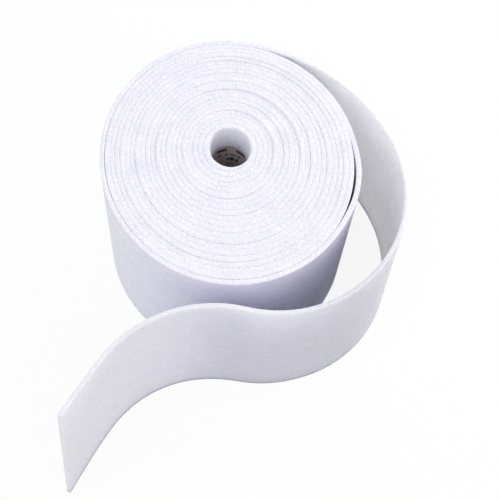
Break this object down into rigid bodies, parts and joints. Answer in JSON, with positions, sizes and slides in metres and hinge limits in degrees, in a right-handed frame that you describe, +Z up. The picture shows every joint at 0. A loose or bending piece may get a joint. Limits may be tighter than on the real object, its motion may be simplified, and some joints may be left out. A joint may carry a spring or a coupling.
{
  "type": "foam wrap roll",
  "caption": "Roll of white foam cushioning wrap on a paper core, standing on its end with its free end pulled out beside it.",
  "frame": {"origin": "axis of the roll at the bottom end of the core, on the surface that it stands on", "axes": "+Z up along the roll's axis, +X to the right and +Y away from the picture's camera"},
  "size_m": [0.4386, 0.5896, 0.305],
  "materials": {
    "foam": "matt extruded polyethylene foam with fine closed cells",
    "core_paper": "rolled grey-brown paper, matt"
  },
  "bodies": {
    "root": {"foam_roll": "foam", "paper_core": "core_paper"}
  },
  "joints": []
}
